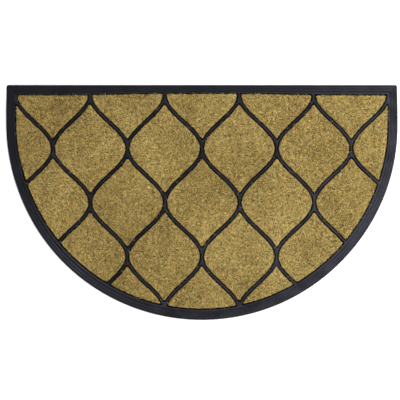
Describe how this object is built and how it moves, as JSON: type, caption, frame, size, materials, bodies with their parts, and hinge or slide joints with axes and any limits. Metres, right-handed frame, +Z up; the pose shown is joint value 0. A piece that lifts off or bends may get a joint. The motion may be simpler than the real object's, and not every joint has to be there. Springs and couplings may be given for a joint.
{
  "type": "half round doormat",
  "caption": "Half round doormat: thick coir panels set in a moulded rubber tray with a ridged border and raised ogee trellis ribs.",
  "frame": {"origin": "on the floor under the middle of the mat", "axes": "+X along the straight edge, +Y from the round edge towards the straight edge, +Z up out of the pile"},
  "size_m": [0.7621, 0.4572, 0.011],
  "materials": {
    "rubber": "moulded black rubber, satin, with fine parallel ridges along the border",
    "coir": "cut coconut fibre pile, natural golden tan, matt and mottled"
  },
  "bodies": {
    "root": {"coir_panel_c0_r0": "coir", "coir_panel_c1_r0": "coir", "coir_panel_c1_r1": "coir", "coir_panel_c2_r0": "coir", "coir_panel_c2_r1": "coir", "coir_panel_c3_r0": "coir", "coir_panel_c3_r1": "coir", "coir_panel_c3_r2": "coir", "coir_panel_c4_r0": "coir", "coir_panel_c4_r1": "coir", "coir_panel_c5_r0": "coir", "coir_panel_c5_r1": "coir", "coir_panel_c5_r2": "coir", "coir_panel_c6_r0": "coir", "coir_panel_c6_r1": "coir", "coir_panel_c7_r0": "coir", "coir_panel_c7_r1": "coir", "coir_panel_c7_r2": "coir", "coir_panel_c8_r0": "coir", "coir_panel_c8_r1": "coir", "coir_panel_c9_r0": "coir", "coir_panel_c9_r1": "coir", "coir_panel_c10_r0": "coir", "rubber_tray": "rubber"}
  },
  "joints": []
}
